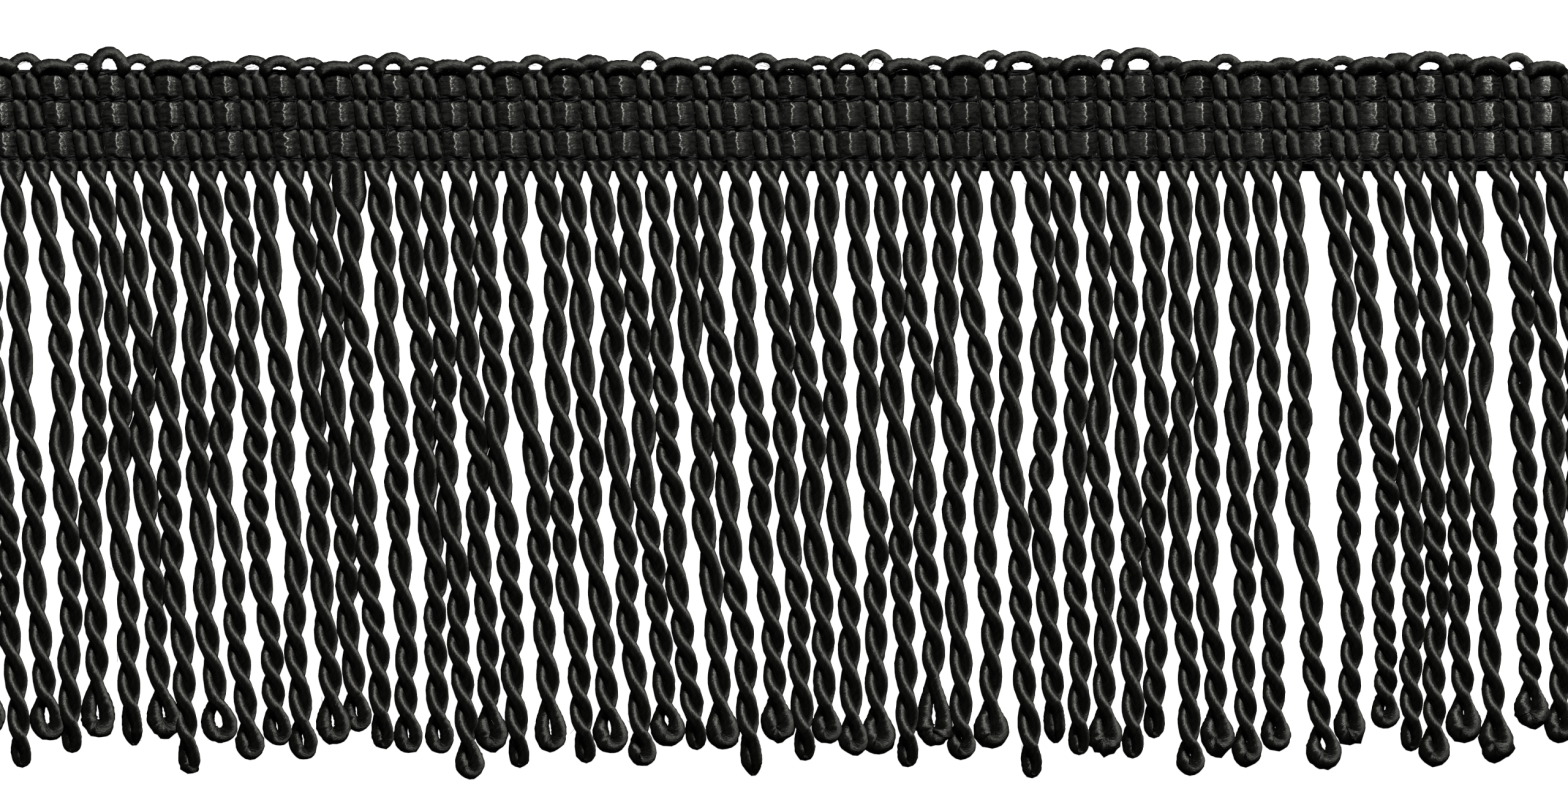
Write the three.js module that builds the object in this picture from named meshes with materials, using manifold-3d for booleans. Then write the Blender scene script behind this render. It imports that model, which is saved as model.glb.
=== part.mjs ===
// Bullion fringe trim, lying on its back. X runs along the heading, Y up from the fringe to the top loops
// and Z out of the cloth's face. The origin is in the middle of the heading's flat back. Sizes are in
// millimetres.
import * as THREE from "three";
import { mergeVertices } from "three/addons/utils/BufferGeometryUtils.js";
import Module from "manifold-3d";

const wasm = await Module();
wasm.setup();

// Driving sizes along the trim: a bullion is two cords, and every second bullion hangs below a floss column.
const PITCH = 4.0;
const CORD = 1.7;
const CORD_STEP = PITCH / 2;

// The woven heading, in three bands of floss between lines of binder thread.
const HEADING_TOP = 6.5;
const HEADING_BOTTOM = -4.9;
const BANDS = 3;
const BAND_HEIGHT = (HEADING_TOP - HEADING_BOTTOM) / BANDS;
const BACKING = 1.1;
const BINDER_HEIGHT = 1.5;
const FLOSS_HEIGHT = 2.6;
const FLOSS_FLAT = 2.6;
const RIB_HEIGHT = 2.4;
const SELVEDGE_HEIGHT = 2.8;
const LEAN_LEFT = 1.2;
const LEAN_RIGHT = 0.3;

// The hem strip that holds the bullions' roots, parted from the heading by a fine gap.
const HEM_GAP = 0.3;
const HEM_TOP = HEADING_BOTTOM - HEM_GAP;
const HEM_BOTTOM = -6.5;
const HEM_HEIGHT = 2.2;

// The loops where the weft cord turns at the top edge.
const FRONT_LOOP = { span: 4.9, z: 1.95 };
const BACK_LOOP = { span: 4.3, z: 0.65 };
const LOOP_SIDE = 1.2;
const LOOP_BITE = 0.2;
const LOOP_STEPS = 4;
const LOOP_SHOULDER = 0.6;
const LOOP_DRAW_IN = 0.9;

// A bullion's two plies, as a lozenge that is widest where they lie side by side and tallest where they
// cross.
const BULGE_HALF = 1.6;
const CROSSING_HALF = 0.85;
const QUARTER_TURN = 4.0;
const ROOT_BITE = 0.8;
const UPPER_DEPTH = 14;
const MIDDLE_DEPTH = 46;
const TIP_ROUND = 1.2;
const TIP_CLOSED = 0.5;

// How far the last ring swells over the end loop: an open eye, a tufted knob or a tight fold.
const EYE = 1.1;
const KNOB = 1.15;
const TIGHT = 0.8;

// One row for each bullion from the left end. LOOP is how high the cord's turn above it stands over the top
// edge. ROOT, UPPER, MIDDLE and TIP are its places to the right of the even pitch, at the hem, at
// UPPER_DEPTH, at MIDDLE_DEPTH and at its end. DROP is its length below the hem, and END is its end loop.
const BULLION_ROWS = [
  // LOOP, ROOT, UPPER, MIDDLE, TIP, DROP, END
  [1.8, 0.0, 1.2, 3.0, 5.0, 80.8, EYE],
  [2.5, 0.0, 0.7, 3.0, 5.7, 85.3, TIGHT],
  [2.2, 0.2, 0.9, 2.9, 5.5, 81.6, EYE],
  [2.9, -0.2, 2.1, 3.9, 4.7, 83.3, TIGHT],
  [1.9, -0.4, 3.0, 3.6, 4.5, 81.1, EYE],
  [2.7, -0.2, 2.6, 3.6, 5.4, 82.3, TIGHT],
  [3.6, -0.2, 2.0, 3.2, 6.0, 81.0, EYE],
  [2.7, -0.3, 1.6, 2.6, 5.5, 86.2, TIGHT],
  [1.8, -0.4, 1.8, 2.6, 5.8, 82.0, EYE],
  [2.4, -0.4, 1.4, 2.3, 6.2, 84.3, KNOB],
  [1.6, -0.4, 1.2, 2.8, 6.0, 82.3, EYE],
  [2.5, -0.2, 0.8, 3.3, 5.6, 84.3, EYE],
  [2.4, -0.3, 1.9, 3.4, 5.9, 82.1, EYE],
  [2.2, -0.3, 1.0, 2.8, 5.2, 80.3, EYE],
  [1.6, -0.2, 0.5, 2.2, 4.8, 82.6, TIGHT],
  [2.5, 0.0, 0.9, 2.9, 4.4, 83.4, EYE],
  [2.8, -0.3, 1.0, 3.2, 4.8, 83.4, EYE],
  [2.2, -0.5, 0.5, 2.1, 5.2, 87.1, KNOB],
  [1.8, -0.4, 0.2, 2.2, 4.2, 83.1, KNOB],
  [2.4, -0.6, -0.7, 1.7, 4.1, 85.4, TIGHT],
  [1.6, -0.4, -0.5, 2.4, 4.6, 83.2, EYE],
  [2.6, -0.5, 0.9, 2.0, 5.5, 84.7, TIGHT],
  [2.0, -0.8, 0.5, 2.1, 5.1, 83.4, EYE],
  [2.6, -0.8, 0.5, 2.2, 5.6, 85.1, KNOB],
  [1.7, -0.8, 0.2, 2.0, 5.2, 82.4, EYE],
  [3.1, -0.8, 0.2, 1.3, 5.2, 82.9, TIGHT],
  [2.1, -0.6, -0.1, 2.1, 5.0, 82.8, KNOB],
  [2.3, -1.0, -0.7, 1.5, 5.1, 86.6, TIGHT],
  [2.5, -0.8, -0.4, 2.0, 4.8, 81.8, KNOB],
  [2.8, -0.8, 0.3, 2.0, 4.5, 84.4, TIGHT],
  [2.0, -0.8, -0.3, 1.7, 3.6, 82.1, KNOB],
  [2.4, -0.4, -0.5, 1.4, 3.4, 83.7, KNOB],
  [2.7, -0.4, 0.2, 2.0, 2.8, 83.4, KNOB],
  [3.3, -0.3, 0.3, 1.8, 3.0, 85.3, TIGHT],
  [2.0, -0.1, 0.1, 1.4, 2.8, 82.3, EYE],
  [2.4, -0.2, 0.1, 1.5, 2.6, 84.2, KNOB],
  [2.4, -0.4, 0.0, 2.0, 2.8, 82.6, KNOB],
  [3.2, 0.1, 0.9, 2.0, 4.6, 86.8, TIGHT],
  [3.0, 0.6, 2.2, 1.9, 3.9, 82.0, TIGHT],
  [2.2, 0.2, 1.7, 2.7, 3.2, 83.6, TIGHT],
  [2.4, 0.4, 1.8, 2.2, 2.9, 83.3, KNOB],
  [3.3, 0.4, 1.2, 2.2, 2.8, 84.1, TIGHT],
  [3.5, 0.8, 1.6, 1.8, 1.8, 81.2, TIGHT],
  [2.4, 1.1, 1.7, 1.4, 3.0, 86.5, KNOB],
  [1.7, 1.2, 1.4, 1.1, 2.8, 83.4, KNOB],
  [2.7, 1.0, 1.8, 1.8, 3.0, 85.1, KNOB],
  [1.6, 1.0, 1.9, 1.8, 3.0, 83.1, EYE],
  [2.2, 0.8, 1.9, 2.4, 6.0, 85.7, EYE],
  [2.0, 2.0, 4.2, 5.4, 5.4, 82.0, KNOB],
  [2.4, 1.6, 3.6, 6.3, 6.4, 79.9, KNOB],
  [2.2, 2.0, 4.6, 6.0, 6.2, 83.1, TIGHT],
  [2.9, 2.0, 4.2, 5.3, 5.4, 85.3, KNOB],
  [3.0, 1.6, 4.1, 4.6, 5.6, 81.8, KNOB],
  [2.7, 1.6, 3.3, 4.2, 6.2, 84.0, KNOB],
  [2.2, 2.4, 5.1, 6.0, 7.2, 79.7, KNOB],
  [2.9, 2.0, 4.4, 6.5, 7.2, 81.8, KNOB],
  [1.6, 2.0, 4.2, 5.8, 6.8, 82.8, KNOB],
];

const MIDDLE_ROW = (BULLION_ROWS.length - 1) / 2;

const bullions = BULLION_ROWS.map(([loop, root, upper, middle, tip, drop, end], row) => {
  const evenX = (row - MIDDLE_ROW) * PITCH;
  const depths = [0, UPPER_DEPTH, MIDDLE_DEPTH, drop];
  const wander = new THREE.CubicInterpolant(depths, [root, upper, middle, tip], 1);
  return {
    row,
    loop,
    drop,
    end,
    underFloss: row % 2 === 0,
    rootX: evenX + root,
    xAt: (depth) => evenX + wander.evaluate(depth)[0],
  };
});

const trimLeft = bullions[0].rootX - PITCH / 2;
const trimRight = bullions.at(-1).rootX + PITCH / 2;

// The woven columns lean: they stand further left towards the top edge, most of all at the trim's left end.
function leanAt(x, y) {
  const along = (x - trimLeft) / (trimRight - trimLeft);
  const lean = THREE.MathUtils.lerp(LEAN_LEFT, LEAN_RIGHT, along);
  return (-lean * (y - HEM_BOTTOM)) / (HEADING_TOP - HEM_BOTTOM);
}

function solidOf(geometry) {
  geometry.deleteAttribute("normal");
  geometry.deleteAttribute("uv");
  const merged = mergeVertices(geometry);
  const vertProperties = merged.attributes.position.array;
  const triVerts = new Uint32Array(merged.index.array);
  return new wasm.Manifold(new wasm.Mesh({ numProp: 3, vertProperties, triVerts }));
}

function meshOf(name, solid, material) {
  const { vertProperties, triVerts, numProp } = solid.getMesh();
  const geometry = new THREE.BufferGeometry();
  geometry.setAttribute("position", new THREE.BufferAttribute(vertProperties, numProp));
  geometry.setIndex(new THREE.BufferAttribute(triVerts, 1));
  geometry.computeVertexNormals();
  const mesh = new THREE.Mesh(geometry, material);
  mesh.name = name;
  return mesh;
}

// Skins a row of rings that all have the same number of points, and closes both ends with a fan from the
// first point. Every quad is split the same way round.
function loft(rings) {
  const sides = rings[0].length;
  const last = (rings.length - 1) * sides;
  const triangles = [];
  for (let start = 0; start < last; start += sides) {
    for (let side = 0; side < sides; side += 1) {
      const here = start + side;
      const next = start + ((side + 1) % sides);
      triangles.push(here, next, here + sides, next, next + sides, here + sides);
    }
  }
  for (let side = 1; side < sides - 1; side += 1) {
    triangles.push(0, side + 1, side);
    triangles.push(last, last + side, last + side + 1);
  }
  const geometry = new THREE.BufferGeometry().setFromPoints(rings.flat());
  geometry.setIndex(triangles);
  return solidOf(geometry);
}

// Stations along the heading: a flat floss column or two round ribs for each bullion, with a furrow between.
function weaveStations() {
  const stations = [{ x: trimLeft, height: BACKING }];
  for (const { row, rootX, underFloss } of bullions) {
    if (underFloss) {
      stations.push({ x: rootX - FLOSS_FLAT / 2, height: FLOSS_HEIGHT });
      stations.push({ x: rootX + FLOSS_FLAT / 2, height: FLOSS_HEIGHT });
    } else {
      stations.push({ x: rootX - CORD_STEP / 2, height: RIB_HEIGHT });
      stations.push({ x: rootX, height: BACKING });
      stations.push({ x: rootX + CORD_STEP / 2, height: RIB_HEIGHT });
    }
    const nextX = bullions[row + 1]?.rootX ?? rootX + PITCH;
    stations.push({ x: (rootX + nextX) / 2, height: BACKING });
  }
  return stations;
}

// Rows down the heading from its top selvedge: the binder draws the weave in below each band.
function weaveRows() {
  const rows = [{ y: HEADING_TOP, lift: (height) => Math.max(height, SELVEDGE_HEIGHT) }];
  for (let band = 0; band < BANDS; band += 1) {
    const top = HEADING_TOP - band * BAND_HEIGHT;
    rows.push({ y: top - BAND_HEIGHT / 2, lift: (height) => height });
    rows.push({ y: top - BAND_HEIGHT, lift: (height) => Math.min(height, BINDER_HEIGHT) });
  }
  return rows;
}

// The heading's section at each station, flat along the back and raised row by row on the face.
function weaveSolid() {
  const rows = weaveRows();
  const rings = weaveStations().map(({ x, height }) => {
    const point = (y, z) => new THREE.Vector3(x + leanAt(x, y), y, z);
    const face = rows.map(({ y, lift }) => point(y, lift(height)));
    return [point(HEADING_TOP, 0), ...face, point(HEADING_BOTTOM, 0)];
  });
  return loft(rings);
}

// The cord turns in front of the floss columns and behind the ribs, and each turn rises by its own height.
function loopSolid({ rootX, loop, underFloss }) {
  const { span, z } = underFloss ? FRONT_LOOP : BACK_LOOP;
  const centre = rootX + leanAt(rootX, HEADING_TOP);
  const crown = HEADING_TOP + loop - CORD / 2;
  const shoulder = THREE.MathUtils.lerp(HEADING_TOP, crown, LOOP_SHOULDER);
  const foot = HEADING_TOP - LOOP_BITE;
  const reach = span / 2;
  const path = new THREE.CatmullRomCurve3([
    new THREE.Vector3(centre - reach, foot, z),
    new THREE.Vector3(centre - reach * LOOP_DRAW_IN, shoulder, z),
    new THREE.Vector3(centre, crown, z),
    new THREE.Vector3(centre + reach * LOOP_DRAW_IN, shoulder, z),
    new THREE.Vector3(centre + reach, foot, z),
  ]);
  const half = LOOP_SIDE / 2;
  const section = new THREE.Shape([
    new THREE.Vector2(-half, -half),
    new THREE.Vector2(half, -half),
    new THREE.Vector2(half, half),
    new THREE.Vector2(-half, half),
  ]);
  const options = { steps: LOOP_STEPS, bevelEnabled: false, extrudePath: path };
  return solidOf(new THREE.ExtrudeGeometry(section, options));
}

// One bullion as rings down its length. Neighbours are a quarter turn apart, so that a bulge lies beside a
// crossing, and the way the quads are split makes the ridges a left-handed twist.
function bullionSolid({ row, drop, end, xAt }) {
  const ringAt = (depth, wide, scale) => {
    const halfX = scale * (wide ? BULGE_HALF : CROSSING_HALF);
    const halfZ = Math.min(scale, 1) * (wide ? CROSSING_HALF : BULGE_HALF);
    const x = xAt(depth);
    const y = HEM_BOTTOM - depth;
    return [
      new THREE.Vector3(x + halfX, y, BULGE_HALF),
      new THREE.Vector3(x, y, BULGE_HALF + halfZ),
      new THREE.Vector3(x - halfX, y, BULGE_HALF),
      new THREE.Vector3(x, y, BULGE_HALF - halfZ),
    ];
  };
  const lastDepth = drop - TIP_ROUND;
  const turns = Math.round(lastDepth / QUARTER_TURN) - 1;
  const rings = [ringAt(-ROOT_BITE, true, 1)];
  for (let turn = 1; turn <= turns; turn += 1) {
    rings.push(ringAt(turn * QUARTER_TURN, (turn + row) % 2 === 0, 1));
  }
  const endWide = (turns + 1 + row) % 2 === 0;
  rings.push(ringAt(lastDepth, endWide, end));
  rings.push(ringAt(drop, endWide, TIP_CLOSED));
  return loft(rings);
}

function headingSolid() {
  return bullions.reduce((heading, bullion) => heading.add(loopSolid(bullion)), weaveSolid());
}

function fringeSolid() {
  const length = trimRight - trimLeft;
  const hem = new THREE.BoxGeometry(length, HEM_TOP - HEM_BOTTOM, HEM_HEIGHT);
  hem.translate((trimLeft + trimRight) / 2, (HEM_TOP + HEM_BOTTOM) / 2, HEM_HEIGHT / 2);
  return bullions.reduce((fringe, bullion) => fringe.add(bullionSolid(bullion)), solidOf(hem));
}

const flossBlack = new THREE.MeshStandardMaterial({ color: 0x191a1a, roughness: 0.45, metalness: 0 });
const cordBlack = new THREE.MeshStandardMaterial({ color: 0x232323, roughness: 0.6, metalness: 0 });

const trim = new THREE.Group();
trim.name = "bullion_fringe_trim";
trim.add(meshOf("heading", headingSolid(), flossBlack));
trim.add(meshOf("bullion_fringe", fringeSolid(), cordBlack));

export default trim;
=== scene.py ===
"""Looks of a black bullion fringe trim, laid face up on a pale floor.

The heading is woven here from its own yarns: weft cords with their top loops, three flat floss warps and
fine binder threads. Each bullion is one cord that runs down, folds at its tip and runs up again, twisted on
itself. Sizes are in millimetres, in the part's own frame: X along the heading, Y from the fringe to the
loops, Z up.
"""

from __future__ import annotations

import logging
import math
from dataclasses import dataclass, replace
from enum import Enum

import bmesh
import bpy
import numpy as np
from bpy.types import ID, Material, Mesh, Node, NodeSocket, NodeTree, Object
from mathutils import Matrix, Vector

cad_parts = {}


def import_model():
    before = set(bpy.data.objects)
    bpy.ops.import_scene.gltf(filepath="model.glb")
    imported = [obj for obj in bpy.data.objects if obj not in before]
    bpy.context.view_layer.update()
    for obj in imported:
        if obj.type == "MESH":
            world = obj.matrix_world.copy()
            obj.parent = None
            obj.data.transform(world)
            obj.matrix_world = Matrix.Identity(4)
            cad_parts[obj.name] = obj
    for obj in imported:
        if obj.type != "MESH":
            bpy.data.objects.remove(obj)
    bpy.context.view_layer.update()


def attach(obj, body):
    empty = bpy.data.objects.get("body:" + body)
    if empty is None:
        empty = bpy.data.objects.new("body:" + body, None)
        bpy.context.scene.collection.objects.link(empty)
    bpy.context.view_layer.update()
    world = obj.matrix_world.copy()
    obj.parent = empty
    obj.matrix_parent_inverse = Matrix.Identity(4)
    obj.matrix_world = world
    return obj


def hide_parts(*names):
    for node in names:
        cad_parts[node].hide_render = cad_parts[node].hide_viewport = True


log = logging.getLogger("bullion_fringe")
Array = np.ndarray
Span = tuple[float, float]
Colour = tuple[float, float, float]

MM = 0.001
SEED = 4711

PITCH = 4.0
CORD_STEP = PITCH / 2
CORD_RADIUS = 0.86
HAIR_RADIUS = 0.028
HAIR_LENGTHS = (0.4, 1.3)
HAIR_BEND = 0.3
HAIR_RISE = 0.55
HAIR_ROOT = 0.8
HAIR_RINGS = 4
PATTERN_LENGTH = 900.0
LOCK_SCALE = 0.3
FINE_SHARE = 0.55
SPLINE_PARTS = 12
HEADING_TOP = 6.5
BAND_LINES = (6.4, 2.6, -1.6, -5.9)
HEM_BOTTOM = -6.5
LEAN_LEFT = 1.2
LEAN_RIGHT = 0.3
UPPER_DEPTH = 14.0
MIDDLE_DEPTH = 46.0


@dataclass(frozen=True)
class TipShape:
    """The fold at a bullion's end.

    Its centreline's half width and length, how far the cord swells towards the bottom and thins at it, where
    it is widest (0 in the middle, 2 low down), how uneven its cord is, and how far it is torn.
    """

    half_width: float
    length: float
    swell: float
    thin: float
    belly: float
    uneven: float
    torn: float


class TipStyle(Enum):
    """The ends that the bullions have."""

    EYE = TipShape(1.5, 5.2, 1.36, 1.1, 0.8, 0.03, 0.06)
    TALL_EYE = TipShape(1.36, 7.4, 1.32, 1.1, 1.6, 0.05, 0.34)
    WIDE_EYE = TipShape(1.62, 4.9, 1.24, 1.15, 0.7, 0.05, 0.16)
    FRAYED_EYE = TipShape(1.36, 5.8, 1.36, 1.1, 1.5, 0.06, 0.38)
    SMALL_EYE = TipShape(1.12, 4.6, 1.16, 1.1, 0.9, 0.04, 0.12)
    DROP_EYE = TipShape(1.22, 6.6, 1.26, 1.1, 1.3, 0.03, 0.06)
    LONG_EYE = TipShape(1.36, 9.0, 1.3, 1.05, 1.8, 0.05, 0.4)
    FULL_EYE = TipShape(1.34, 5.2, 1.44, 1.08, 0.9, 0.05, 0.14)
    CURL = TipShape(1.28, 4.6, 1.58, 1.05, 0.8, 0.05, 0.14)
    FAN = TipShape(1.12, 5.4, 1.6, 1.0, 1.3, 0.05, 0.16)
    FRAYED_FAN = TipShape(1.12, 5.2, 1.52, 1.0, 1.4, 0.07, 0.8)
    TIGHT = TipShape(0.66, 3.8, 1.0, 0.95, 0.7, 0.03, 0.06)
    SPINDLE = TipShape(0.64, 5.6, 1.04, 0.44, 0.2, 0.02, 0.04)
    FRAYED_TIGHT = TipShape(0.74, 4.4, 1.04, 0.95, 0.9, 0.06, 0.38)
    KNOB = TipShape(0.98, 4.4, 1.42, 1.1, 1.2, 0.06, 0.22)
    FRAYED_KNOB = TipShape(1.05, 4.8, 1.42, 1.1, 1.4, 0.08, 0.8)
    BALL = TipShape(0.92, 3.5, 1.46, 1.0, 0.6, 0.04, 0.12)


@dataclass(frozen=True)
class BullionRow:
    """One bullion: its loop's rise, its places beside the pitch from hem to tip, its drop and its end."""

    loop: float
    root: float
    upper: float
    middle: float
    tip: float
    drop: float
    end: TipStyle


END = TipStyle
BULLION_SIZES = (
    (1.8, 0.0, 1.2, 3.0, 5.0, 80.8, END.EYE),
    (2.5, 0.0, 0.7, 3.0, 5.7, 85.3, END.TIGHT),
    (2.2, 0.2, 0.9, 2.9, 5.5, 81.6, END.EYE),
    (2.9, -0.2, 2.1, 3.9, 4.7, 83.3, END.TIGHT),
    (1.9, -0.4, 3.0, 3.6, 4.5, 81.1, END.TALL_EYE),
    (2.7, -0.2, 2.6, 3.6, 5.4, 82.3, END.SPINDLE),
    (3.6, -0.2, 2.0, 3.2, 6.0, 81.0, END.FRAYED_EYE),
    (2.7, -0.3, 1.6, 2.6, 5.5, 86.2, END.FRAYED_TIGHT),
    (1.8, -0.4, 1.8, 2.6, 5.8, 82.0, END.WIDE_EYE),
    (2.4, -0.4, 1.4, 2.3, 6.2, 84.3, END.KNOB),
    (1.6, -0.4, 1.2, 2.8, 6.0, 82.3, END.SMALL_EYE),
    (2.5, -0.2, 0.8, 3.3, 5.6, 84.3, END.SMALL_EYE),
    (2.4, -0.3, 1.9, 3.4, 5.9, 82.1, END.FRAYED_EYE),
    (2.2, -0.3, 1.0, 2.8, 5.2, 80.3, END.SMALL_EYE),
    (1.6, -0.2, 0.5, 2.2, 4.8, 82.6, END.FRAYED_TIGHT),
    (2.5, 0.0, 0.9, 2.9, 4.4, 83.4, END.SMALL_EYE),
    (2.8, -0.3, 1.0, 3.2, 4.8, 83.4, END.SMALL_EYE),
    (2.2, -0.5, 0.5, 2.1, 5.2, 87.1, END.KNOB),
    (1.8, -0.4, 0.2, 2.2, 4.2, 83.1, END.FAN),
    (2.4, -0.6, -0.7, 1.7, 4.1, 85.4, END.TIGHT),
    (1.6, -0.4, -0.5, 2.4, 4.6, 83.2, END.DROP_EYE),
    (2.6, -0.5, 0.9, 2.0, 5.5, 84.7, END.TIGHT),
    (2.0, -0.8, 0.5, 2.1, 5.1, 83.4, END.FULL_EYE),
    (2.6, -0.8, 0.5, 2.2, 5.6, 85.1, END.BALL),
    (1.7, -0.8, 0.2, 2.0, 5.2, 82.4, END.CURL),
    (3.1, -0.8, 0.2, 1.3, 5.2, 82.9, END.TIGHT),
    (2.1, -0.6, -0.1, 2.1, 5.0, 82.8, END.FAN),
    (2.3, -1.0, -0.7, 1.5, 5.1, 86.6, END.SPINDLE),
    (2.5, -0.8, -0.4, 2.0, 4.8, 81.8, END.FAN),
    (2.8, -0.8, 0.3, 2.0, 4.5, 84.4, END.TIGHT),
    (2.0, -0.8, -0.3, 1.7, 3.6, 82.1, END.KNOB),
    (2.4, -0.4, -0.5, 1.4, 3.4, 83.7, END.KNOB),
    (2.7, -0.4, 0.2, 2.0, 2.8, 83.4, END.FAN),
    (3.3, -0.3, 0.3, 1.8, 3.0, 85.3, END.TIGHT),
    (2.0, -0.1, 0.1, 1.4, 2.8, 82.3, END.LONG_EYE),
    (2.4, -0.2, 0.1, 1.5, 2.6, 84.2, END.BALL),
    (2.4, -0.4, 0.0, 2.0, 2.8, 82.6, END.FAN),
    (3.2, 0.1, 0.9, 2.0, 4.6, 86.8, END.TIGHT),
    (3.0, 0.6, 2.2, 1.9, 3.9, 82.0, END.SPINDLE),
    (2.2, 0.2, 1.7, 2.7, 3.2, 83.6, END.TIGHT),
    (2.4, 0.4, 1.8, 2.2, 2.9, 83.3, END.FRAYED_FAN),
    (3.3, 0.4, 1.2, 2.2, 2.8, 84.1, END.TIGHT),
    (3.5, 0.8, 1.6, 1.8, 1.8, 81.2, END.TIGHT),
    (2.4, 1.1, 1.7, 1.4, 3.0, 86.5, END.BALL),
    (1.7, 1.2, 1.4, 1.1, 2.8, 83.4, END.FRAYED_FAN),
    (2.7, 1.0, 1.8, 1.8, 3.0, 85.1, END.KNOB),
    (1.6, 1.0, 1.9, 1.8, 3.0, 83.1, END.KNOB),
    (2.2, 0.8, 1.9, 2.4, 6.0, 85.7, END.CURL),
    (2.0, 2.0, 4.2, 5.4, 5.4, 82.0, END.FRAYED_KNOB),
    (2.4, 1.6, 3.6, 6.3, 6.4, 79.9, END.BALL),
    (2.2, 2.0, 4.6, 6.0, 6.2, 83.1, END.TIGHT),
    (2.9, 2.0, 4.2, 5.3, 5.4, 85.3, END.KNOB),
    (3.0, 1.6, 4.1, 4.6, 5.6, 81.8, END.FAN),
    (2.7, 1.6, 3.3, 4.2, 6.2, 84.0, END.FRAYED_FAN),
    (2.2, 2.4, 5.1, 6.0, 7.2, 79.7, END.FRAYED_FAN),
    (2.9, 2.0, 4.4, 6.5, 7.2, 81.8, END.KNOB),
    (1.6, 2.0, 4.2, 5.8, 6.8, 82.8, END.KNOB),
)
BULLION_ROWS = tuple(BullionRow(*sizes) for sizes in BULLION_SIZES)
MIDDLE_ROW = (len(BULLION_ROWS) - 1) / 2
ROOT_X = np.array([(i - MIDDLE_ROW) * PITCH + row.root for i, row in enumerate(BULLION_ROWS)])
TRIM_LEFT = ROOT_X[0] - PITCH / 2
TRIM_RIGHT = ROOT_X[-1] + PITCH / 2

COLUMN_SHIFT = -0.85
SPREAD_ROW = 33
SPREAD_STEP = 0.1


def column_places() -> Array:
    """Places the heading's woven columns, which keep an even pitch and spread a little to the right."""
    rows = np.arange(len(BULLION_ROWS))
    return (rows - MIDDLE_ROW) * PITCH + COLUMN_SHIFT + SPREAD_STEP * np.maximum(0, rows - SPREAD_ROW)


def with_ends(places: Array) -> Array:
    """Adds one more place beyond each end of a row of places."""
    return np.concatenate([places[:1] - PITCH, places, places[-1:] + PITCH])


COLUMN_X = column_places()


def smooth_step(low: float, high: float, value: Array) -> Array:
    """Rises from 0 to 1 between two values, level at both ends."""
    t = np.clip((value - low) / (high - low), 0.0, 1.0)
    return t * t * (3.0 - 2.0 * t)


def blend(start: Array | float, end: Array | float, share: Array | float) -> Array | float:
    """Goes a share of the way from one value to another."""
    return start + (end - start) * share


def lean_at(x: Array, y: Array) -> Array:
    """How far the woven columns stand to the left at a height, most of all at the trim's left end."""
    along = (x - TRIM_LEFT) / (TRIM_RIGHT - TRIM_LEFT)
    lean = blend(LEAN_LEFT, LEAN_RIGHT, along)
    return -lean * (y - HEM_BOTTOM) / (HEADING_TOP - HEM_BOTTOM)


def spline(points: Array, step: float) -> Array:
    """Passes a smooth line through a few points.

    Args:
        points: The points, one a row.
        step: About how far apart the new points lie.

    Returns:
        The points of a Catmull-Rom line, evenly spaced along it.
    """
    ends = np.vstack([2 * points[0] - points[1], points, 2 * points[-1] - points[-2]])
    t = np.linspace(0.0, 1.0, SPLINE_PARTS, endpoint=False)[:, None]
    parts = []
    for a, b, c, d in zip(ends, ends[1:], ends[2:], ends[3:]):
        curve = 2 * a - 5 * b + 4 * c - d
        twist = 3 * b - a - 3 * c + d
        parts.append(0.5 * (2 * b + (c - a) * t + curve * t**2 + twist * t**3))
    return even_steps(np.vstack([*parts, points[-1:]]), step)


def even_steps(points: Array, step: float) -> Array:
    """Spaces a line's points evenly, about a step apart, with the values that follow their places."""
    run = run_along(points)
    places = np.linspace(0.0, run[-1], max(3, round(run[-1] / step) + 1))
    return np.column_stack([np.interp(places, run, values) for values in points.T])


def run_along(points: Array) -> Array:
    """Measures how far along a line each of its points lies."""
    return np.concatenate([[0.0], np.cumsum(np.linalg.norm(np.diff(points[:, :3], axis=0), axis=1))])


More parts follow.
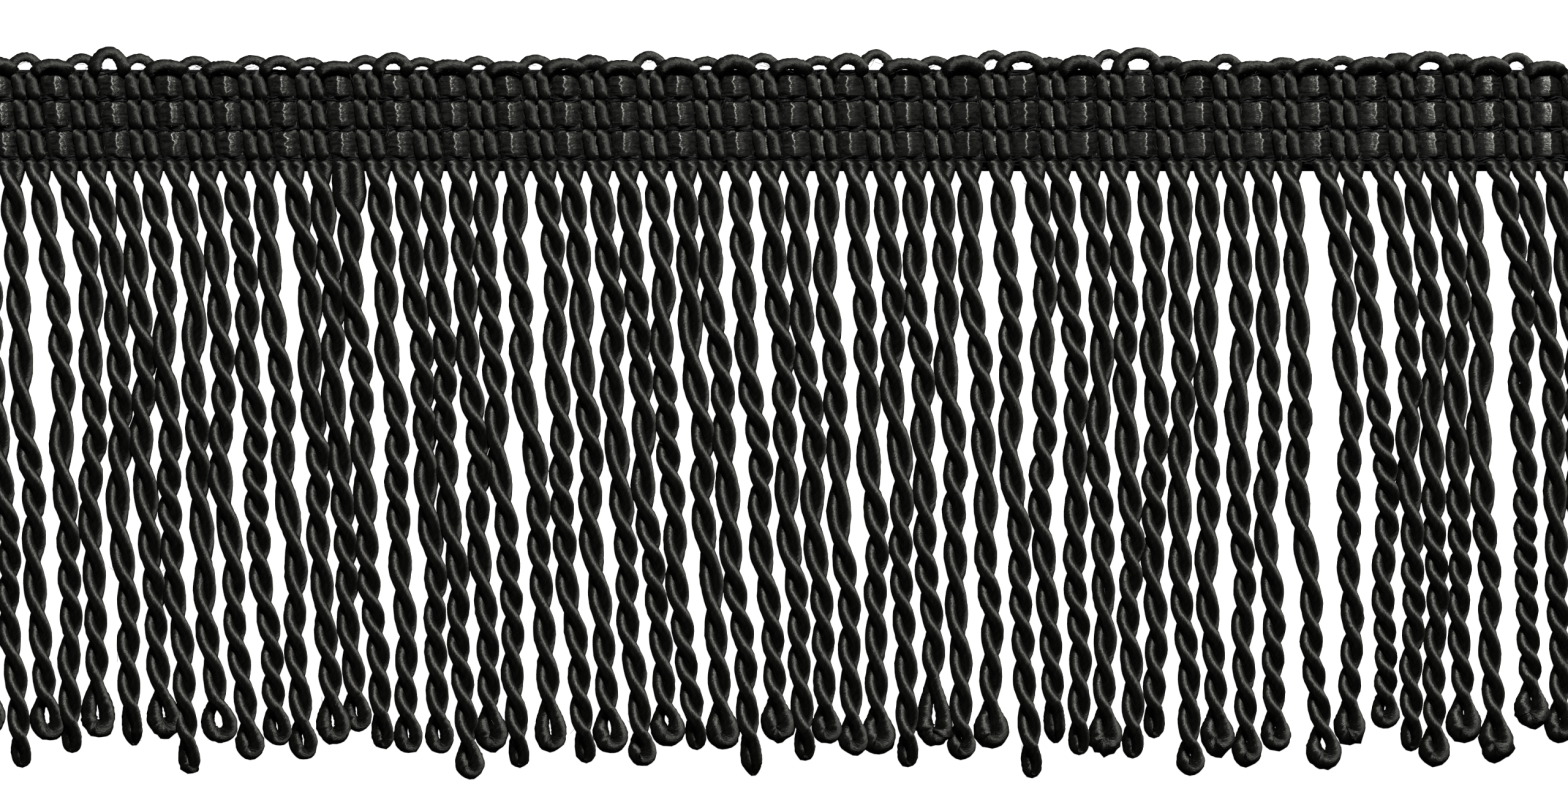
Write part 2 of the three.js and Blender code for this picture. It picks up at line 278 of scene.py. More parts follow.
@dataclass
class YarnBundle:
    """Many round yarns, kept as arrays until they become one joined mesh.

    Each point also gets where it lies on its yarn's twisted fibres, and the way across those fibres.
    """

    sides: int
    twist: float

    def __post_init__(self) -> None:
        """Starts with no yarn."""
        self.points: list[Array] = []
        self.fibres: list[Array] = []
        self.across: list[Array] = []
        self.corners: list[Array] = []
        self.face_sizes: list[Array] = []
        self.count = 0

    def add(self, path: Array, tall: Array | float, wide: Array | float, start: float) -> None:
        """Adds one yarn as a closed tube.

        Args:
            path: The yarn's centreline.
            tall: Its half thickness upwards: one value, one for each ring or one for each point.
            wide: Its half thickness sideways, in the same way.
            start: Where its fibres' pattern starts.
        """
        rings = len(path)
        tall = self._for_points(tall, rings)
        wide = self._for_points(wide, rings)
        along = np.gradient(path, axis=0)
        along /= np.linalg.norm(along, axis=1)[:, None]
        up = np.array([0.0, 0.0, 1.0]) - along[:, 2:] * along
        up /= np.linalg.norm(up, axis=1)[:, None]
        side = np.cross(along, up)
        run = run_along(path)
        angle = np.linspace(0.0, math.tau, self.sides, endpoint=False) + math.pi / 2
        cosine, sine = np.cos(angle)[:, None], np.sin(angle)[:, None]
        tall_arm = tall[..., None] * up[:, None, :]
        wide_arm = wide[..., None] * side[:, None, :]
        points = (path[:, None, :] + cosine * tall_arm + sine * wide_arm).reshape(-1, 3)
        points[:, 2] = np.maximum(points[:, 2], 0.0)
        self.points.append(points)

        radius = (tall + wide) / 2
        pitch = np.arctan(self.twist * radius)[..., None]
        around = cosine * wide_arm - sine * tall_arm
        around /= np.linalg.norm(around, axis=2)[..., None]
        across = np.cos(pitch) * around - np.sin(pitch) * along[:, None, :]
        self.across.append(across.reshape(-1, 3))
        turned = angle - self.twist * run[:, None]
        fibre = np.empty((rings, self.sides, 3))
        fibre[..., 0] = radius * np.cos(turned)
        fibre[..., 1] = radius * np.sin(turned)
        fibre[..., 2] = start + run[:, None]
        self.fibres.append(fibre.reshape(-1, 3))
        self._add_faces(rings)

    def _for_points(self, size: Array | float, rings: int) -> Array:
        """Spreads a size over a tube's rings and sides."""
        size = np.asarray(size, float)
        return size if size.ndim == 2 else np.broadcast_to(size, rings)[:, None]

    def _add_faces(self, rings: int) -> None:
        """Adds one tube's walls and its two end caps."""
        index = self.count + np.arange(rings * self.sides).reshape(rings, self.sides)
        here, there = index[:-1], index[1:]
        walls = np.stack([here, np.roll(here, -1, 1), np.roll(there, -1, 1), there], axis=-1)
        self.corners += [walls.ravel(), index[0, ::-1], index[-1]]
        self.face_sizes += [np.full(walls.shape[0] * self.sides, 4), np.full(2, self.sides)]
        self.count += rings * self.sides

    def to_object(self, name: str) -> Object:
        """Makes the yarns one mesh object.

        Args:
            name: The piece's name.

        Returns:
            The object, at the origin, with its place in its mesh.
        """
        corners = np.concatenate(self.corners)
        sizes = np.concatenate(self.face_sizes)
        mesh = bpy.data.meshes.new(name)
        mesh.vertices.add(self.count)
        mesh.vertices.foreach_set("co", (np.concatenate(self.points) * MM).ravel())
        mesh.loops.add(len(corners))
        mesh.loops.foreach_set("vertex_index", corners.astype(np.int32))
        mesh.polygons.add(len(sizes))
        starts = np.concatenate([[0], np.cumsum(sizes)[:-1]])
        mesh.polygons.foreach_set("loop_start", starts.astype(np.int32))
        mesh.update(calc_edges=True)
        set_fibres(mesh, np.concatenate(self.fibres), np.concatenate(self.across))
        mesh.shade_smooth()
        return new_object(name, mesh)


def set_fibres(mesh: Mesh, places: Array, across: Array) -> None:
    """Stores where each point of a mesh lies on its fibres, and the way across them."""
    for label, values in (("fibre", places), ("across", across)):
        layer = mesh.attributes.new(label, "FLOAT_VECTOR", "POINT")
        layer.data.foreach_set("vector", values.ravel())


def new_object(name: str, data: ID) -> Object:
    """Puts a mesh, a light or a camera into the scene as an object at the origin."""
    piece = bpy.data.objects.new(name, data)
    bpy.context.scene.collection.objects.link(piece)
    return piece


def set_inputs(node: Node, values: dict[str, object]) -> None:
    """Sets some of a node's input sockets."""
    for label, value in values.items():
        node.inputs[label].default_value = value


class NodeBoard:
    """A node tree with short ways to add nodes and to link them."""

    def __init__(self, tree: NodeTree) -> None:
        """Works on one node tree."""
        self.tree = tree

    def add(self, kind: str, **settings: object) -> Node:
        """Adds a node and sets its properties."""
        node = self.tree.nodes.new(kind)
        for label, value in settings.items():
            setattr(node, label, value)
        return node

    def link(self, source: NodeSocket, target: NodeSocket) -> None:
        """Links one socket to another."""
        self.tree.links.new(source, target)


def fibre_group() -> NodeTree:
    """Builds the shared look of drawn-out fibres.

    Returns:
        A group that turns a place on a yarn, in millimetres with the third number along its fibres, into
        the fibres' Height and Shade.
    """
    tree = bpy.data.node_groups.new("drawn_fibres", "ShaderNodeTree")
    for label, way, kind in (
        ("Place", "INPUT", "NodeSocketVector"),
        ("Fineness", "INPUT", "NodeSocketFloat"),
        ("Draw", "INPUT", "NodeSocketFloat"),
        ("Height", "OUTPUT", "NodeSocketFloat"),
        ("Shade", "OUTPUT", "NodeSocketFloat"),
    ):
        tree.interface.new_socket(label, in_out=way, socket_type=kind)
    board = NodeBoard(tree)
    inputs = board.add("NodeGroupInput").outputs
    outputs = board.add("NodeGroupOutput").inputs
    stretch = board.add("ShaderNodeCombineXYZ")
    set_inputs(stretch, {"X": 1.0, "Y": 1.0})
    board.link(inputs["Draw"], stretch.inputs["Z"])
    drawn = board.add("ShaderNodeVectorMath", operation="MULTIPLY")
    board.link(inputs["Place"], drawn.inputs[0])
    board.link(stretch.outputs["Vector"], drawn.inputs[1])

    fine = board.add("ShaderNodeTexNoise")
    set_inputs(fine, {"Detail": 2.0, "Roughness": 0.6})
    locks = board.add("ShaderNodeTexNoise")
    set_inputs(locks, {"Detail": 1.0})
    for noise in (fine, locks):
        board.link(drawn.outputs["Vector"], noise.inputs["Vector"])
    board.link(inputs["Fineness"], fine.inputs["Scale"])
    coarse = board.add("ShaderNodeMath", operation="MULTIPLY")
    board.link(inputs["Fineness"], coarse.inputs[0])
    coarse.inputs[1].default_value = LOCK_SCALE
    board.link(coarse.outputs["Value"], locks.inputs["Scale"])
    height = board.add("ShaderNodeMix")
    set_inputs(height, {"Factor": FINE_SHARE})
    board.link(locks.outputs["Fac"], height.inputs["A"])
    board.link(fine.outputs["Fac"], height.inputs["B"])
    board.link(height.outputs["Result"], outputs["Height"])
    shade = board.add("ShaderNodeMapRange", interpolation_type="SMOOTHSTEP")
    set_inputs(shade, {"From Min": 0.36, "From Max": 0.66})
    board.link(height.outputs["Result"], shade.inputs["Value"])
    board.link(shade.outputs["Result"], outputs["Shade"])
    return tree


@dataclass(frozen=True)
class YarnFinish:
    """The finish of one kind of yarn."""

    name: str
    dark: Colour
    light: Colour
    smooth: float
    rough: float
    anisotropy: float
    specular: float
    fineness: float
    draw: float
    relief: float

    def material(self, fibres: NodeTree) -> Material:
        """Builds the finish as a material.

        Args:
            fibres: The shared group of drawn-out fibres.

        Returns:
            The new material.
        """
        material = bpy.data.materials.new(self.name)
        material.use_nodes = True
        material.node_tree.nodes.clear()
        board = NodeBoard(material.node_tree)
        output = board.add("ShaderNodeOutputMaterial")
        shader = board.add("ShaderNodeBsdfPrincipled")
        board.link(shader.outputs["BSDF"], output.inputs["Surface"])
        set_inputs(shader, {"Anisotropic": self.anisotropy, "Specular IOR Level": self.specular})
        across = board.add("ShaderNodeAttribute", attribute_name="across")
        board.link(across.outputs["Vector"], shader.inputs["Tangent"])

        place = board.add("ShaderNodeAttribute", attribute_name="fibre")
        group = board.add("ShaderNodeGroup", node_tree=fibres)
        board.link(place.outputs["Vector"], group.inputs["Place"])
        set_inputs(group, {"Fineness": self.fineness, "Draw": self.draw})
        colour = board.add("ShaderNodeMix", data_type="RGBA")
        board.link(group.outputs["Shade"], colour.inputs["Factor"])
        colour.inputs[6].default_value = (*self.dark, 1.0)
        colour.inputs[7].default_value = (*self.light, 1.0)
        board.link(colour.outputs[2], shader.inputs["Base Color"])
        gloss = board.add("ShaderNodeMapRange")
        board.link(group.outputs["Shade"], gloss.inputs["Value"])
        set_inputs(gloss, {"To Min": self.rough, "To Max": self.smooth})
        board.link(gloss.outputs["Result"], shader.inputs["Roughness"])
        bump = board.add("ShaderNodeBump")
        set_inputs(bump, {"Distance": self.relief * MM})
        board.link(group.outputs["Height"], bump.inputs["Height"])
        board.link(bump.outputs["Normal"], shader.inputs["Normal"])
        return material


CORD_FINISH = YarnFinish(
    name="black_cord",
    dark=(0.0005, 0.0005, 0.0005),
    light=(0.0035, 0.0035, 0.0032),
    smooth=0.46,
    rough=0.6,
    anisotropy=0.9,
    specular=0.5,
    fineness=5.5,
    draw=0.22,
    relief=0.26,
)
WORN_CORD_FINISH = replace(
    CORD_FINISH,
    name="worn_black_cord",
    light=(0.006, 0.006, 0.0057),
    smooth=0.58,
    rough=0.8,
    relief=0.36,
)
FLOSS_FINISH = YarnFinish(
    name="black_floss",
    dark=(0.003, 0.003, 0.0034),
    light=(0.014, 0.014, 0.0136),
    smooth=0.3,
    rough=0.44,
    anisotropy=0.9,
    specular=0.5,
    fineness=5.0,
    draw=0.1,
    relief=0.14,
)
BINDER_FINISH = YarnFinish(
    name="binder_thread",
    dark=(0.001, 0.0011, 0.0014),
    light=(0.004, 0.0044, 0.0056),
    smooth=0.6,
    rough=0.85,
    anisotropy=0.3,
    specular=0.15,
    fineness=9.0,
    draw=0.2,
    relief=0.04,
)


def settle(piece: Object, material: Material, slot: str, *nodes: str) -> None:
    """Dresses a finished piece and ties it to the frame.

    Args:
        piece: The finished piece.
        material: Its finish.
        slot: The record's material slot for the piece; not used.
        nodes: The solids that it stands for.
    """
    piece.data.materials.clear()
    piece.data.materials.append(material)
    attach(piece, "root")
    if nodes:
        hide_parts(*nodes)
    triangles = sum(len(face.vertices) - 2 for face in piece.data.polygons)
    log.info("%s: %d triangles", piece.name, triangles)


def fibre_start(random: np.random.Generator) -> float:
    """Draws where a yarn's fibre pattern starts."""
    return random.uniform(0.0, PATTERN_LENGTH)


def stray_hairs(
    name: str, cords: list[tuple[Array, Array]], count: int, random: np.random.Generator
) -> Object:
    """Lets single fibres stand out of cords.

    Args:
        name: The piece's name.
        cords: The cords' centrelines and radii.
        count: How many fibres stand out.
        random: Draws where and how.

    Returns:
        The joined fibres.
    """
    bundle = YarnBundle(3, 0.0)
    for _ in range(count):
        path, radius = cords[random.integers(len(cords))]
        at = random.integers(HAIR_RINGS, len(path) - HAIR_RINGS)
        along = path[at + 1] - path[at - 1]
        along /= np.linalg.norm(along)
        way = np.cross(along, random.normal(size=3) + [0.0, 0.0, 1.0])
        way /= np.linalg.norm(way)
        bend = along * random.choice([-1.0, 1.0]) + random.normal(0.0, HAIR_BEND, 3)
        length = random.uniform(*HAIR_LENGTHS)
        t = np.linspace(0.0, 1.0, HAIR_RINGS)[:, None]
        hair = path[at] + HAIR_ROOT * radius[at] * way + length * (HAIR_RISE * t * way + t**2 * bend)
        hair[:, 2] = np.maximum(hair[:, 2], HAIR_RADIUS)
        bundle.add(hair, HAIR_RADIUS, HAIR_RADIUS, fibre_start(random))
    return bundle.to_object(name)


@dataclass
class Bullion:
    """One hanging bullion: a cord that runs down, folds at its tip and runs up again, twisted on itself."""

    index: int
    row: BullionRow
    half_turn: float
    phase: float
    tighten: float
    loose_root: float = 0.0
    ply_offset: float = 0.8
    spread: float = 0.06
    axis_height: float = 1.68
    root_height: float = 1.2
    root_depth: float = -0.3
    loose_swell: float = 0.32
    gather_depth: float = 3.0
    lead: float = 0.35
    root_swell: float = 0.13
    root_full: Span = (9.0, 2.0)
    upper_swell: float = 0.07
    upper_full: Span = (66.0, 44.0)
    loose_shares: Span = (2.8, 1.2)
    swell_share: float = 0.5
    thin_share: float = 0.6
    uneven_shares: Span = (0.35, 0.8)
    waver: float = 0.05
    flatten: float = 0.7
    stray: float = 0.3
    stray_root: Span = (4.0, 22.0)
    stray_tip: Span = (3.0, 20.0)
    slow_wave: Span = (34.0, 6.0)
    quick_wave: Span = (19.0, 3.0)
    drift: float = 0.02
    depth_step: float = 0.4
    step: float = 0.6
    fold_step: float = 0.28
    fold_points: int = 40

    @property
    def fold_top(self) -> float:
        """The height of the last crossing, where the fold starts."""
        return HEM_BOTTOM - self.row.drop + self.row.end.value.length

    def centre_x(self, depth: Array) -> Array:
        """Finds where the bullion hangs along the trim at some depths below the hem."""
        row = self.row
        knots = np.array([0.0, UPPER_DEPTH, MIDDLE_DEPTH, row.drop])
        places = np.array([row.root, row.upper, row.middle, row.tip])
        secants = np.diff(places) / np.diff(knots)
        slopes = np.concatenate([secants[:1], (secants[1:] + secants[:-1]) / 2, secants[-1:]])
        depth = np.clip(depth, 0.0, row.drop)
        part = np.clip(np.searchsorted(knots, depth, side="right") - 1, 0, 2)
        width = knots[part + 1] - knots[part]
        t = (depth - knots[part]) / width
        start = (1 + 2 * t) * (1 - t) ** 2 * places[part] + t * (1 - t) ** 2 * width * slopes[part]
        end = t**2 * (3 - 2 * t) * places[part + 1] + t**2 * (t - 1) * width * slopes[part + 1]
        return (self.index - MIDDLE_ROW) * PITCH + start + end + self._stray(depth)

    def _stray(self, depth: Array) -> Array:
        """Says how far the bullion strays from its line, most of all halfway down."""
        low, high = (self.row.drop - reach for reach in self.stray_tip)
        free = smooth_step(*self.stray_root, depth) * smooth_step(low, high, depth)
        slow_wave = self.slow_wave[0] + self.slow_wave[1] * math.sin(3 * self.phase)
        quick_wave = self.quick_wave[0] + self.quick_wave[1] * math.cos(5 * self.phase)
        slow = np.sin(math.tau * depth / slow_wave + self.phase)
        quick = np.sin(math.tau * depth / quick_wave + 2.3 * self.phase)
        return self.stray * free * (slow + 0.6 * quick)

    def cord(self) -> tuple[Array, Array]:
        """Lays the cord from its left root round the fold to its right root.

        Returns:
            The centreline, and the cord's half thickness along it upwards and sideways.
        """
        down, fold_down = self._ply(1.0)
        up, fold_up = self._ply(-1.0)
        fold = even_steps(np.vstack([down[-1:], fold_down, fold_up[-2::-1], up[-1:]]), self.fold_step)
        legs = even_steps(down, self.step), even_steps(up, self.step)
        path = np.vstack([legs[0][:-1], fold, legs[1][-2::-1]])
        tip = self.row.end.value
        path, sizes = path[:, :3], path[:, 3:]
        folded = self.fold_top - path[:, 1]
        run = run_along(path)
        bumps = np.random.default_rng(SEED + self.index).normal(0.0, tip.uneven, len(path))
        bumps = np.convolve(bumps, (0.5, 0.8, 0.5), mode="same")
        growth = blend(1.0, tip.swell, smooth_step(0.0, self.swell_share * tip.length, folded))
        growth *= blend(1.0, tip.thin, smooth_step(self.thin_share * tip.length, tip.length, folded))
        growth *= 1.0 + self.waver * np.sin(run * 0.9 + self.phase) * np.sin(run * 0.37 + 2 * self.phase)
        low, high = (share * tip.length for share in self.uneven_shares)
        growth *= 1.0 + bumps * smooth_step(low, high, folded)
        sizes = sizes * np.column_stack([growth**self.flatten, growth])
        path[:, 2] = np.maximum(path[:, 2], sizes[:, 0])
        return path, sizes

    def _slack(self, depth: Array) -> Array:
        """Says how many times its usual size a bullion is: fuller high up and where it starts untwisted."""
        slack = 1.0 + self.upper_swell * smooth_step(*self.upper_full, depth)
        if self.loose_root > 0.0:
            low, high = (share * self.loose_root for share in self.loose_shares)
            slack += self.loose_swell * smooth_step(low, high, depth)
        return slack

    def _ply(self, sign: float) -> tuple[Array, Array]:
        """Lays one ply from its root to the bottom of the fold.

        Args:
            sign: 1 for the ply that starts on the left, -1 for the other.

        Returns:
            The ply's centreline and half thicknesses down to its last crossing, and on to the bottom.
        """
        tip = self.row.end.value
        radius = CORD_RADIUS * tip.swell * tip.thin
        fold_depth = self.row.drop - radius - tip.length
        half_turns = round((fold_depth - self.loose_root) / self.half_turn - 0.5)
        depth = np.arange(self.root_depth, fold_depth, self.depth_step)
        depth = np.append(depth[:-1], fold_depth)
        part = np.clip((depth - self.loose_root) / (fold_depth - self.loose_root), 0.0, 1.0)
        part *= 1.0 - self.tighten + self.tighten * part**2
        drift = self.drift * np.sin(math.tau * 2 * part + self.phase) * np.sin(math.pi * part)
        angle = math.pi * (half_turns + 0.5) * (part + drift) + self.lead * (1.0 - part)
        gather = smooth_step(0.0, self.gather_depth, depth)
        slack = self._slack(depth)
        full = slack * (1.0 + self.root_swell * smooth_step(*self.root_full, depth))
        offset = blend(CORD_STEP / 2, self.ply_offset * slack, gather)
        height = blend(self.root_height, self.axis_height, gather)
        twisted = np.column_stack(
            [
                self.centre_x(depth) - sign * offset * np.cos(angle),
                HEM_BOTTOM - depth,
                height + sign * self.ply_offset * np.sin(angle) * gather**0.5,
                (CORD_RADIUS + self.spread * np.cos(angle) ** 2) * full,
                (CORD_RADIUS + self.spread * np.sin(angle) ** 2) * full,
            ]
        )
        side = sign if half_turns % 2 == 0 else -sign
        turn = np.linspace(0.0, math.pi, self.fold_points)[1:]
        fold = fold_depth + tip.length * (1 - np.cos(turn)) / 2
        teardrop = np.sin(turn) * np.sin(turn / 2) ** tip.belly
        open_out = side * tip.half_width * teardrop / teardrop.max()
        level = blend(self.axis_height, radius, smooth_step(0.0, math.pi, turn))
        folded = np.column_stack(
            [
                self.centre_x(fold) + open_out,
                HEM_BOTTOM - fold,
                level + side * self.ply_offset * np.cos(turn / 2),
                np.full(len(turn), CORD_RADIUS),
                np.full(len(turn), CORD_RADIUS),
            ]
        )
        return twisted, folded


@dataclass
class Fringe:
    """All the bullions, in joined pieces along the trim, with the loose fibres that stand out of them."""

    sides: int = 10
    twist: float = 0.95
    half_turn: float = 6.3
    half_turn_spread: float = 0.35
    tighten: float = 0.06
    end_tighten: float = 0.17
    end_rows: Span = (40.0, 47.0)
    lumps: float = 0.03
    pleat_depth: float = 0.6
    tear_spread: Span = (0.3, 1.0)
    torn_shares: Span = (0.45, 0.8)
    hairs: int = 150
    parts: tuple[str, ...] = ("bullions_left", "bullions_middle", "bullions_right")

    def __post_init__(self) -> None:
        """Gives every bullion its own twist."""
        self.random = np.random.default_rng(SEED)
        quick_twist = {49: 4.8, 54: 4.6}
        loose_root = {14: 4.5}
        self.bullions: list[Bullion] = []
        for index, row in enumerate(BULLION_ROWS):
            half_turn = self.half_turn + self.random.normal(0.0, self.half_turn_spread)
            bullion = Bullion(
                index=index,
                row=row,
                half_turn=quick_twist.get(index, half_turn),
                phase=self.random.uniform(0.0, math.tau),
                tighten=self._tightness(index),
                loose_root=loose_root.get(index, 0.0),
            )
            self.bullions.append(bullion)

    def build(self, cord: Material) -> None:
        """Builds and dresses the bullions and the fibres that stand out of them."""
        cords = [bullion.cord() for bullion in self.bullions]
        for name, share in zip(self.parts, np.array_split(np.arange(len(cords)), len(self.parts))):
            bundle = YarnBundle(self.sides, self.twist)
            for index in share:
                path, sizes = cords[index]
                lumps = self._lumps(self.bullions[index], path)
                bundle.add(path, sizes[:, :1] * lumps, sizes[:, 1:] * lumps, fibre_start(self.random))
            settle(bundle.to_object(name), cord, "bullion_cord", "bullion_fringe")
        thin = [(path, sizes.min(axis=1)) for path, sizes in cords]
        settle(stray_hairs("fringe_hairs", thin, self.hairs, self.random), cord, "bullion_cord")

    def _tightness(self, index: int) -> float:
        """Says how much tighter a bullion's twist gets towards its tip, most of all at the right end."""
        near_end = float(smooth_step(*self.end_rows, np.array(index)))
        return blend(self.tighten, self.end_tighten, near_end)

    def _lumps(self, bullion: Bullion, path: Array) -> Array:
        """Makes a cord's surface uneven, and pleats and tears it round its fold.

        Args:
            bullion: The cord's bullion.
            path: The cord's centreline.

        Returns:
            How many times its usual radius each point has, a row for each ring.
        """
        tip = bullion.row.end.value
        size = (len(path), self.sides)
        low, high = (share * tip.length for share in self.torn_shares)
        torn = tip.torn * smooth_step(low, high, bullion.fold_top - path[:, 1])
        pleats = np.abs(self.random.normal(0.0, self.pleat_depth, (len(path), 1)))
        tears = pleats * self.random.uniform(*self.tear_spread, size)
        return 1.0 + self.random.normal(0.0, self.lumps, size) + torn[:, None] * tears


@dataclass(frozen=True)
class TurnShape:
    """A turn of the weft: its ribs' height and half thickness, and its loop's reach, heights and radii."""

    rib_height: float
    rib_tall: float
    reach: float
    foot_height: float
    loop_height: float
    foot_radius: float
    loop_radius: float


FRONT_TURN = TurnShape(1.55, 0.78, 2.2, 1.55, 2.1, 1.0, 0.84)
BACK_TURN = TurnShape(1.0, 0.55, 2.2, 0.8, 0.8, 0.84, 0.68)


def turn_shape(index: int) -> TurnShape:
    """Picks a turn's shape: the loops above the even bullions stand in front."""
    return FRONT_TURN if index % 2 == 0 else BACK_TURN


@dataclass
class Heading:
    """The woven heading: weft cords with their top loops, three floss warps and the binder threads."""

    sides: int = 10
    twist: float = 0.8
    weft_bottom: float = -6.7
    weft_step: float = 0.27
    rib_wide: float = 0.83
    rib_lumps: float = 0.04
    rib_spread: float = 0.06
    rib_lean: float = 0.4
    pinch_height: float = 1.0
    pinch_tall: float = 0.4
    pinch_wide: float = 0.72
    pinch_edges: Span = (0.15, 0.9)
    settle_height: float = -5.0
    hem_rise: float = 0.2
    leg_step: float = 0.2
    low_loop_spread: float = 0.25
    low_loop_radius: float = 0.82
    low_loop_hem: float = 0.3
    low_loop_rises: Span = (2.2, 2.4)
    loop_sink: float = 0.2
    arch_points: int = 9
    tuck_out: float = 0.25
    tuck_height: float = 1.0
    float_stations: int = 26
    station_crowding: float = 0.72
    floss_rows: int = 24
    floss_face: float = 2.25
    floss_back: float = 0.45
    floss_margin: float = 0.4
    floss_thick: float = 0.26
    floss_ragged: float = 0.17
    float_edges: Span = (1.15, 2.75)
    float_skew: float = 0.25
    floss_pillow: float = 0.5
    floss_ridge: float = 0.03
    floss_fan: float = 0.4
    handed_from: Span = (0.55, 0.75)
    crest_round: float = 0.23
    steep_slope: float = 0.55
    shallow_slope: float = 0.3
    left_slope: float = 0.2
    crest_place: float = -0.2
    second_crest: float = 1.15
    second_rise: float = 0.05
    second_wide: float = 0.4
    crest_drift: float = 0.5
    binder_radius: float = 0.14
    binder_step: float = 0.4
    binder_pair: float = 0.16
    binder_unrest: float = 0.05
    binder_wander: float = 0.12
    binder_twine: float = 0.1
    thread_sides: int = 4
    thread_twist: float = 2.5
    end_gap: float = 0.2
    ground_height: float = 0.75
    ground_tall: float = 0.1
    ground_wide: float = 0.5
    mid_ground_height: float = 0.1
    mid_ground_wide: float = 1.65
    hem_lines: tuple[float, ...] = (-5.7, -6.15)
    hem_backing: float = -6.95
    backing_height: float = 0.3
    cover: float = 1.2
    hairs: int = 1800

    def __post_init__(self) -> None:
        """Starts the heading's own random draws, and names its spread-out loops and its closed ones."""
        self.random = np.random.default_rng(SEED + 1)
        self.wide_loops = {34: 0.4, 38: 0.9, 42: 0.8, 46: 0.4, 50: 0.4, 52: 0.6, 54: 0.2}
        self.closed_loops = (23, 28, 36, 39, 40, 43, 47, 51, 53)

    def build(self, cord: Material, floss: Material, binder: Material) -> None:
        """Builds and dresses the heading's yarns.

        Args:
            cord: The weft's finish.
            floss: The floss warps' finish.
            binder: The binder threads' finish.
        """
        cords = [self._turn(index, row) for index, row in enumerate(BULLION_ROWS)]
        settle(self._weft(cords), cord, "bullion_cord", "heading")
        for band, name in enumerate(("floss_top", "floss_middle", "floss_bottom")):
            settle(self._floss(band, name), floss, "heading_weave", "heading")
        threads = YarnBundle(self.thread_sides, self.thread_twist)
        for upper, lower in zip(BAND_LINES, BAND_LINES[1:]):
            self._binders(threads, upper)
            self._ground(threads, (upper + lower) / 2, self.mid_ground_height, self.mid_ground_wide)
        settle(threads.to_object("binder_threads"), binder, "heading_weave", "heading")
        threads = YarnBundle(self.thread_sides, self.thread_twist)
        for line in self.hem_lines:
            self._binders(threads, line)
        self._ground(threads, self.hem_backing, self.backing_height, self.ground_wide)
        settle(threads.to_object("hem_threads"), binder, "heading_weave", "bullion_fringe")
        thick = [(path, np.full(len(path), CORD_RADIUS)) for path in cords]
        settle(stray_hairs("heading_hairs", thick, self.hairs, self.random), cord, "bullion_cord")

    def _band_swell(self, y: Array) -> Array:
        """Says how far a cord swells between two binder lines, from 0 on a line to 1 in mid band."""
        inside = np.clip(y, BAND_LINES[-1], BAND_LINES[0])
        from_line = np.abs(inside[:, None] - np.array(BAND_LINES)).min(axis=1)
        return np.sqrt(smooth_step(*self.pinch_edges, from_line))

    def _band_lean(self, y: Array) -> Array:
        """Says how far a rib lies aside within its band, from left at its top to right at its bottom."""
        tops, bottoms = np.array(BAND_LINES[:-1]), np.array(BAND_LINES[1:])
        middle = (tops + bottoms) / 2
        band = np.abs(y[:, None] - middle).argmin(axis=1)
        return (middle[band] - y) / (tops - bottoms)[band] * self._band_swell(y)

    def _cord_x(self, row: int, side: float, y: Array) -> Array:
        """Finds one of a column's two cords: upright in the weave, and above its bullion's root at the hem.

        Args:
            row: The column, where -1 and the last plus 1 lie just beyond the trim.
            side: -1 for the left cord, 1 for the right one.
            y: The heights.

        Returns:
            The cord's places along the trim.
        """
        column = with_ends(COLUMN_X)[row + 1]
        upright = column + lean_at(column, y) + self.rib_lean * self._band_lean(y)
        settled = smooth_step(self.settle_height, HEM_BOTTOM, y)
        return blend(upright, with_ends(ROOT_X)[row + 1], settled) + side * CORD_STEP / 2

    def _weft(self, cords: list[Array]) -> Object:
        """Gives every turn of the weft its thickness: pinched on the binder lines, swollen between them.

        Args:
            cords: The turns' centrelines.

        Returns:
            The joined cords.
        """
        bundle = YarnBundle(self.sides, self.twist)
        for index, (row, path) in enumerate(zip(BULLION_ROWS, cords)):
            y = path[:, 1]
            swell = self._band_swell(y)
            loose = smooth_step(HEM_BOTTOM + 0.6, HEM_BOTTOM - 0.2, y)
            tall = blend(self.pinch_tall, turn_shape(index).rib_tall, swell)
            tall += (CORD_RADIUS - self.pinch_tall) * loose
            wide = blend(self.pinch_wide, self.rib_wide, np.maximum(swell, loose))
            foot, crown = self._loop_radii(index, row)
            rise = smooth_step(HEADING_TOP - 0.2, HEADING_TOP + 0.7, y)
            thin = smooth_step(HEADING_TOP + 0.2, HEADING_TOP + row.loop - crown, y)
            loop_radius = blend(foot, crown, thin)
            tall = blend(tall, loop_radius, rise)
            wide = blend(wide, loop_radius, rise)
            wide *= 1.0 + self.rib_spread * swell * np.sin(self.random.uniform(0.0, math.tau) + 1.3 * y)
            lumps = 1.0 + self.random.normal(0.0, self.rib_lumps, (len(path), self.sides))
            start = fibre_start(self.random)
            bundle.add(path, tall[:, None] * lumps, wide[:, None] * lumps, start)
        return bundle.to_object("weft_cords")

    def _loop_radii(self, index: int, row: BullionRow) -> tuple[float, float]:
        """Says how thick a loop's cord is at its feet and at its crown, where a tall loop is thinner."""
        shape = turn_shape(index)
        low = max(self.low_loop_radius, (row.loop - self.low_loop_hem) / 2)
        return shape.foot_radius, blend(shape.loop_radius, low, self._lowness(index, row))

    def _lowness(self, index: int, row: BullionRow) -> float:
        """Says how far a loop lies down on the heading, from 0 to 1 for a closed one."""
        if index in self.closed_loops:
            return 1.0
        if turn_shape(index) is BACK_TURN:
            return 0.0
        return 1.0 - float(smooth_step(*self.low_loop_rises, np.array(row.loop)))

